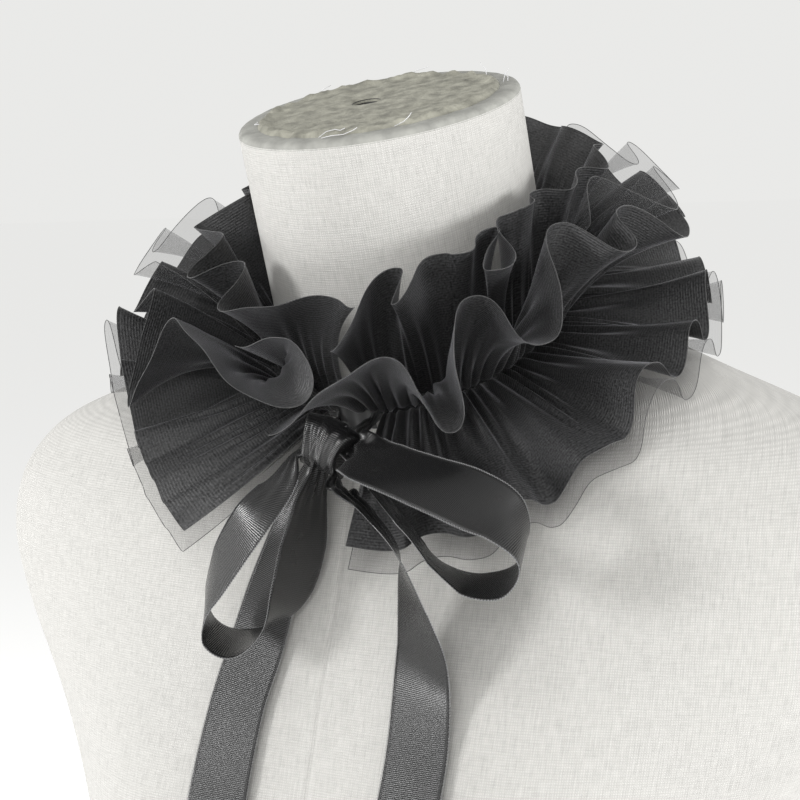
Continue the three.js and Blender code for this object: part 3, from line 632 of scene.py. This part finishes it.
def gathered(grid, angle, share, seed):
    """Uneven pleats that fade before the free edge, and a slow ripple along that edge. Share is
    the part of each row's spare cloth that the pleats take up."""
    v = np.linspace(0, 1, len(grid))[:, None]
    s = np.radians(angle)[None] * SEAM_ARC
    spacing = GATHER["spacing"]

    def slow(turns, shift):
        return np.sin(2 * np.pi * s / (spacing * turns) + shift)

    around = np.array([lengths(row)[-1] for row in grid])[:, None]
    spare = share * (around[-1] / around - 1)
    slope = 2 * np.sqrt(np.maximum(spare, 0)) * (1 + 0.12 * spare)
    high = slope * spacing * around / around[0] / (2 * np.pi)
    gone = GATHER["gone"] * (1 + 0.2 * slow(3.7, 2))
    fade = np.clip((gone - v) / (gone - GATHER["full"]), 0, 1) * np.minimum(0.3 + v / GATHER["from"], 1)
    even = 1 + 0.35 * slow(2.3, 3 + 2.5 * v) + 0.2 * slow(6.1, 4)
    pleat = np.sin(2 * np.pi * s / spacing + 1.2 * slow(4.1, 1) + 0.9 * slow(9.3, 2)) * high * fade * even
    rim = lengths(grid[-1])[None]
    wave = np.sin(2 * np.pi * rim / RIPPLE["spacing"] + 1.5 * np.sin(rim / 47 + seed)) * RIPPLE["high"] * v**3
    return grid + normals(grid) * (pleat + wave)[..., None]


def build_ruffle(name, folds, look, share, cut, *pieces):
    grid, angle = ruffle_grid(folds, SEAMS[name])
    grid = gathered(grid, angle, share, len(folds))
    u = lengths(grid[-1])
    deep = lengths(grid[:, len(u) // 2])
    uv = np.stack(np.broadcast_arrays(u[None], deep[:, None]), axis=-1)
    node = "ruffle_" + name
    strip = dress(grid_object(node + "_cloth", grid, uv), look, look, node)
    line = np.concatenate([grid[:, 0], grid[-1, 1:], grid[-2::-1, -1]])
    rolled = tube(line, EDGE_THREAD["radius"], EDGE_THREAD["sides"])
    edge = dress(mesh_object(node + "_edge", *rolled), "edge", look)


def build_casing():
    """The stretch of the collar's casing that shows between the ends of the neck ribbon."""
    angle = np.linspace(-CASING["turn"], CASING["turn"], CASING["across"])
    height = np.linspace(CASING["low"], CASING["high"], CASING["up"])[:, None]
    radius = CASING["radius"] + CASING["wave"] * np.sin(angle * 1.1)
    uv = np.stack(np.broadcast_arrays(np.radians(angle) * SEAM_ARC, height), axis=-1)
    grid = ring_point(np.broadcast_to(angle, uv.shape[:2]), radius, seam_height(angle) + height)
    return dress(grid_object("ruffle_casing", grid, uv), "solid_chiffon", "chiffon")


# Ribbon. Rows as in the part's source: middle, way across and share of the full width
LOOP_LEFT = [
    ((-10, -73, 400), (0.6, -0.8, -0.1), 0.4),
    ((-11, -84, 391), (0.8, -0.6, -0.2), 0.9),
    ((-16, -96, 379), (0.8, -0.5, -0.3), 1),
    ((-27, -100, 362), (0.8, -0.6, -0.2), 1),
    ((-37, -98, 346), (0.6, -0.8, 0), 1),
    ((-37, -96, 335), (0.4, -0.9, -0.1), 1),
    ((-28, -93, 330), (0.4, -0.9, -0.2), 1),
    ((-17, -88, 335), (0.3, -0.9, 0), 1),
    ((-9, -81, 349), (-0.1, -1, 0.2), 1),
    ((-5, -77, 366), (-0.2, -1, 0.2), 1),
    ((-2, -75, 383), (-0.1, -1, 0.2), 0.8),
    ((0, -72, 393), (-0.1, -1, 0.2), 0.5),
]
LOOP_RIGHT = [
    ((14.8, -70, 404), (0.3, -0.8, -0.5), 0.45),
    ((22, -79, 404), (0.3, -0.9, -0.4), 0.8),
    ((34, -86, 402), (0.2, -0.9, -0.4), 1),
    ((55, -92, 398), (0.1, -0.9, -0.5), 1),
    ((76, -96, 393), (0, -0.8, -0.6), 1),
    ((91, -97, 386), (0.1, -0.8, -0.5), 1),
    ((97, -95, 375), (0.3, -0.9, -0.3), 1),
    ((90, -93, 364), (0.3, -0.9, -0.2), 1),
    ((76, -94, 362), (0.4, -0.9, -0.1), 1),
    ((64, -96, 368), (0.5, -0.9, 0), 1),
    ((53, -95, 378), (0.5, -0.9, 0), 0.9),
    ((38, -87, 388), (0.4, -0.9, 0), 0.6),
    ((22, -76, 396), (0.4, -0.9, 0), 0.4),
]
TAIL_LEFT = [
    ((-8, -62, 394), (0.9, -0.4, 0.2), 0.5),
    ((-14, -62, 382), (0.9, -0.4, 0.1), 0.9),
    ((-20, -65, 364), (1, -0.3, 0), 1),
    ((-27, -69, 342), (1, -0.1, 0), 1),
    ((-31, -75, 323), (1, 0, 0), 1),
    ((-35, -83, 303), (1, 0, 0), 1),
    ((-37, -98, 265), (1, 0.1, 0), 1),
    ((-38, -106, 225), (1, 0.1, 0), 1),
    ((-38, -105, 185), (1, 0.1, 0), 1),
]
TAIL_RIGHT = [
    ((10, -74, 391), (0.4, -0.8, 0), 0.45),
    ((18, -82, 389), (0.4, -0.9, 0), 0.5),
    ((30, -88, 384), (0.5, -0.9, 0), 0.7),
    ((41, -91, 375), (0.5, -0.9, 0), 0.9),
    ((47, -92, 365), (0.6, -0.8, 0), 1),
    ((49, -89, 350), (0.8, -0.6, 0), 1),
    ((49, -84, 332), (0.9, -0.3, 0), 1),
    ((47, -82, 314), (1, -0.1, 0), 1),
    ((47, -87, 294), (1, 0, 0), 1),
    ((47, -100, 266), (1, 0, 0), 1),
    ((47, -110, 230), (1, 0, 0), 1),
    ((47, -109, 195), (1, 0, 0), 1),
]
PLEATS = {"count": 3, "high": 1.3}  # lengthwise folds where a ribbon is squeezed into the knot
PICOT = {"spacing": 1.15, "out": 0.6, "radius": 0.15, "full": 0.85, "sides": 3}
# One loop: shares of the spacing along the edge and of the way out
PICOT_BEND = [(-0.38, 0), (-0.3, 0.7), (0, 1), (0.3, 0.7), (0.38, 0)]
RIBBON_STEP = 1.2  # millimetres between cross-sections
RIBBON_ACROSS = 20


def spline(points, t, even):
    """Points at each t from 0 to 1 on a Catmull-Rom curve, centripetal unless even."""
    p = np.array(points, float)
    p = np.concatenate([[2 * p[0] - p[1]], p, [2 * p[-1] - p[-2]]])
    out = []
    for x in np.clip(t, 0, 1) * (len(p) - 3):
        k = min(int(x), len(p) - 4)
        a, b, c, d = p[k : k + 4]
        pairs = ((b, a), (c, b), (d, c))
        g0, g1, g2 = [1.0 if even else max(np.linalg.norm(q - r), 1e-6) ** 0.5 for q, r in pairs]
        tb = ((b - a) / g0 - (c - a) / (g0 + g1) + (c - b) / g1) * g1
        tc = ((c - b) / g1 - (d - b) / (g1 + g2) + (d - c) / g2) * g1
        w = x - k
        out.append(b + tb * w + (3 * (c - b) - 2 * tb - tc) * w**2 + (2 * (b - c) + tb + tc) * w**3)
    return np.array(out)


def ribbon_grid(rows):
    """Points of a ribbon, edge to edge, in even steps along it."""
    mids, ways, wide = zip(*rows)
    # A first line, only to measure the length
    rough = spline(mids, np.linspace(0, 1, 400), even=False)
    steps = int(lengths(rough)[-1] / RIBBON_STEP)
    t = np.linspace(0, 1, steps + 1)
    mid = spline(mids, t, even=False)
    tangent = unit(np.gradient(mid, axis=0))
    way = spline(ways, t, even=True)
    way = unit(way - tangent * np.sum(way * tangent, axis=1, keepdims=True))
    share = np.interp(t * (len(rows) - 1), range(len(rows)), wide)
    v = np.linspace(-0.5, 0.5, RIBBON_ACROSS + 1)[:, None]
    grid = mid[None] + way[None] * (RIBBON_WIDTH * share[None] * v)[..., None]
    fold = np.sin(2 * np.pi * PLEATS["count"] * v) * PLEATS["high"] * (1 - share[None])
    return grid + np.cross(tangent, way)[None] * fold[..., None]


def picots(line, inward, width):
    """Tiny thread loops that stand out along one edge of a ribbon, where it lies at full width."""
    along = lengths(line)
    count = int(along[-1] / PICOT["spacing"])
    parts = []
    for i in range(count):
        middle = (i + 0.5) * PICOT["spacing"]
        if np.interp(middle, along, width) < PICOT["full"] * RIBBON_WIDTH:
            continue
        bend = []
        for x, rise in PICOT_BEND:
            at = middle + x * PICOT["spacing"]
            base = np.array([np.interp(at, along, line[:, c]) for c in range(3)])
            out = np.array([np.interp(at, along, inward[:, c]) for c in range(3)])
            bend.append(base - out * rise * PICOT["out"])
        parts.append(tube(np.array(bend), PICOT["radius"], PICOT["sides"]))
    return parts


def build_ribbon(name, grid, node):
    u = lengths(grid[len(grid) // 2])
    v = np.linspace(0, RIBBON_WIDTH, len(grid))
    uv = np.stack(np.broadcast_arrays(u[None], v[:, None]), axis=-1)
    strip = dress(grid_object(name, grid, uv), "satin", "satin", node)
    shell = strip.modifiers.new("thickness", "SOLIDIFY")
    shell.thickness = RIBBON_THICK * MM
    shell.offset = 0
    width = np.linalg.norm(grid[-1] - grid[0], axis=1)
    loops = picots(grid[0], unit(grid[1] - grid[0]), width) + picots(grid[-1], unit(grid[-2] - grid[-1]), width)
    edge = dress(mesh_object(node + "_picots", *joined(loops)), "picot", "satin")
    return strip


BAND = {"low": -3.6, "high": 21.4, "from": 16, "steps": 240, "end_steps": 8}
# Gathered end of the band: angle, radius, and low and high edge above the seam
BAND_END = [
    (4, 79.3, -5, 2),
    (5, 71, -6.2, -0.8),
    (6, 65, -6.2, -0.8),
    (7, 61, -5.4, -0.8),
    (9, 58.8, -4, 6),
    (12, 58.6, -3.6, 16),
]
BAND_RADIUS = 58.6


def band_grid():
    angles = np.linspace(BAND["from"], 360 - BAND["from"], BAND["steps"] + 1)
    middle = [(a, BAND_RADIUS, BAND["low"], BAND["high"]) for a in angles]
    end = [(360 - a, r, low, high) for a, r, low, high in BAND_END][::-1]
    first = between(BAND_END + middle[:1], BAND["end_steps"])[:-1]
    last = between(middle[-1:] + end, BAND["end_steps"])[1:]
    angle, radius, low, high = np.array(first + middle + last).T
    v = np.linspace(0, 1, RIBBON_ACROSS + 1)[:, None]
    squeeze = 1 - (high - low) / (BAND["high"] - BAND["low"])
    height = seam_height(angle)[None] + low[None] + (high - low)[None] * v
    fold = np.sin(2 * np.pi * PLEATS["count"] * v) * PLEATS["high"] * squeeze[None]
    return ring_point(np.broadcast_to(angle, height.shape), radius[None] + np.maximum(fold, 0), height)


# Knot: a ribbon wound twice over the crossing, squeezed narrow so that it creases along its length.
# Each wrap: centre, half width, half depth, half height, slant in degrees and crease shift
KNOT_WRAPS = [
    ((1, -68.5, 405), 9, 7.6, 10.6, 14, 0.4),
    ((6.2, -69.6, 403.8), 8.2, 8.4, 10, 28, 1.9),
]
KNOT_CREASES = {"count": 5.5, "high": 0.75}
KNOT_SQUARE = 0.7  # power that squares the section
KNOT_WAIST = 0.86  # share of the width left halfway up
KNOT_ROWS = 44
KNOT_POINTS = 60
KNOT_FLAT = 5  # millimetres of cloth for each radian round the section


def squared(value):
    """A sine or cosine that makes a rounded square instead of a circle."""
    return np.sign(value) * np.abs(value) ** KNOT_SQUARE


def build_knot():
    v = np.linspace(-1, 1, KNOT_ROWS)[:, None]
    a = np.linspace(0, 2 * np.pi, KNOT_POINTS + 1)[None]
    across = squared(np.cos(a))
    waist = KNOT_WAIST + (1 - KNOT_WAIST) * np.abs(v) ** 1.5
    turned = np.sqrt(np.maximum(1 - np.abs(v) ** 2.6, 0.015))  # where the ribbon turns back at both ends
    last = (KNOT_ROWS - 1) * (KNOT_POINTS + 1)
    faces = grid_faces(KNOT_ROWS, KNOT_POINTS + 1)
    faces.append(tuple(range(KNOT_POINTS))[::-1])
    faces.append(tuple(range(last, last + KNOT_POINTS)))
    parts, flats = [], []
    for centre, wide, deep, tall, slant, shift in KNOT_WRAPS:
        waves = KNOT_CREASES["count"] * across * (1.4 - 0.3 * v) + shift + 0.8 * v
        crease = KNOT_CREASES["high"] * np.sin(waves)
        x = wide * across * waist
        y = (deep * squared(np.sin(a)) + crease * np.sin(a)) * turned
        z = tall * v * (1 - 0.06 * across**2)
        c, s = math.cos(math.radians(slant)), math.sin(math.radians(slant))
        grid = np.stack([x * c + z * s, y, z * c - x * s], axis=-1) + np.array(centre)
        parts.append((grid.reshape(-1, 3), faces))
        flats.append(np.stack(np.broadcast_arrays(v * tall, a * KNOT_FLAT), axis=-1).reshape(-1, 2))
    obj = mesh_object("bow_knot_wrap", *joined(parts), np.concatenate(flats), weld=True)
    return dress(obj, "satin", "satin", "bow_knot")


# Strips, with the share of the spare cloth in their pleats, and the cut in metres
RUFFLES = [
    ("upper_inner", UPPER_INNER, "chiffon", 0.35, (0.75, 0.057)),
    ("upper_sheer", UPPER_SHEER, "sheer", 0.6, (0.61, 0.065)),
    ("upper_outer", UPPER_OUTER, "chiffon", 0.9, (1.12, 0.061)),
    ("lower_outer", LOWER_OUTER, "chiffon", 0.6, (1.0, 0.065)),
    ("lower_sheer", LOWER_SHEER, "sheer", 0.65, (1.05, 0.07)),
]
# Each ribbon of the bow, with the rows that carry its ends on into the knot
BOW_RIBBONS = {
    "loop_left": [
        ((-3, -70, 403), (0.6, -0.8, -0.1), 0.35),
        *LOOP_LEFT,
        ((1, -70, 401), (-0.1, -1, 0.2), 0.4),
    ],
    "loop_right": [
        ((8, -69, 404), (0.3, -0.8, -0.5), 0.4),
        *LOOP_RIGHT,
        ((12, -71, 401), (0.4, -0.9, 0), 0.35),
    ],
    "tail_left": [((-2, -66, 401), (0.9, -0.4, 0.2), 0.4), *TAIL_LEFT],
    "tail_right": [((6, -70, 399), (0.4, -0.8, 0), 0.4), *TAIL_RIGHT],
}


def build_collar():
    build_ribbon("neck_ribbon_cloth", band_grid(), "neck_ribbon")
    casing = build_casing()
    for row in RUFFLES:
        build_ruffle(*row, *([casing] if row is RUFFLES[0] else []))
    build_knot()
    for name, rows in BOW_RIBBONS.items():
        build_ribbon(f"bow_{name}_cloth", ribbon_grid(rows), f"bow_{name}")


# Camera, light and floor
VIEW = {"azimuth": 29, "elevation": 5.3, "roll": 2.1, "distance": 0.73, "pixels_per_mm": 2.36}
FLOOR = 40_000  # half of its side in millimetres, far enough to reach past the picture
FLOOR_DROP = 0.0005
PICTURE = 800
NECK_PIXEL = (423, 352)  # where NECK_BASE shows in the picture


def way_to(azimuth, elevation):
    """Unit vector from the form to the camera or a light. Azimuth 0 is the front, 90 the form's left."""
    a, e = math.radians(azimuth), math.radians(elevation)
    return Vector((math.sin(a) * math.cos(e), -math.cos(a) * math.cos(e), math.sin(e)))


def build_camera():
    a, r = math.radians(VIEW["azimuth"]), math.radians(VIEW["roll"])
    back = way_to(VIEW["azimuth"], VIEW["elevation"])
    right = Vector((math.cos(a), math.sin(a), 0))
    up = back.cross(right)
    right, up = right * math.cos(r) - up * math.sin(r), right * math.sin(r) + up * math.cos(r)
    data = bpy.data.cameras.new("camera")
    data.sensor_width = 36
    data.lens = VIEW["pixels_per_mm"] * VIEW["distance"] / MM / PICTURE * data.sensor_width
    data.shift_x = (PICTURE / 2 - NECK_PIXEL[0]) / PICTURE
    data.shift_y = (NECK_PIXEL[1] - PICTURE / 2) / PICTURE
    camera = bpy.data.objects.new("camera", data)
    turn = Matrix((right, up, back)).transposed().to_4x4()
    camera.matrix_world = Matrix.Translation(Vector(NECK_BASE * MM) + back * VIEW["distance"]) @ turn
    bpy.context.scene.collection.objects.link(camera)
    bpy.context.scene.camera = camera


# Softboxes: azimuth, elevation, distance and size in metres, and power in watts
LIGHTS = [
    (-30, 8, 1.5, 0.32, 11),
    (94, 5, 1.5, 0.36, 17),
    (22, 16, 1.5, 0.5, 5),
    (8, 48, 1.6, 0.26, 2.5),
    (-75, 4, 1.4, 0.25, 5),
]


def build_light():
    target = Vector(NECK_BASE * MM)
    for i, (azimuth, elevation, distance, size, power) in enumerate(LIGHTS):
        back = way_to(azimuth, elevation)
        data = bpy.data.lights.new(f"softbox_{i}", "AREA")
        data.shape = "SQUARE"
        data.size = size
        data.energy = power
        lamp = bpy.data.objects.new(f"softbox_{i}", data)
        lamp.location = target + back * distance
        lamp.rotation_euler = (-back).to_track_quat("-Z", "Y").to_euler()
        bpy.context.scene.collection.objects.link(lamp)
    world = bpy.data.worlds.new("studio")
    world.use_nodes = True
    sky = world.node_tree.nodes["Background"]
    sky.inputs["Color"].default_value = (0.82, 0.82, 0.807, 1)
    sky.inputs["Strength"].default_value = 1.0
    bpy.context.scene.world = world


def build_floor():
    corners = [(-FLOOR, -FLOOR, 0), (FLOOR, -FLOOR, 0), (FLOOR, FLOOR, 0), (-FLOOR, FLOOR, 0)]
    floor = mesh_object("floor", corners, [(0, 1, 2, 3)])
    floor.location.z = -FLOOR_DROP
    look = Look("floor", Roughness=0.9)
    look.shader.inputs["Base Color"].default_value = (0.985, 0.985, 0.985, 1)
    look.shader.inputs["Specular IOR Level"].default_value = 0.0
    floor.data.materials.append(look.material)


build_camera()
build_form()
build_neck_top()
build_collar()
build_light()
build_floor()
bpy.context.scene.view_settings.view_transform = "Standard"
bpy.context.view_layer.update()
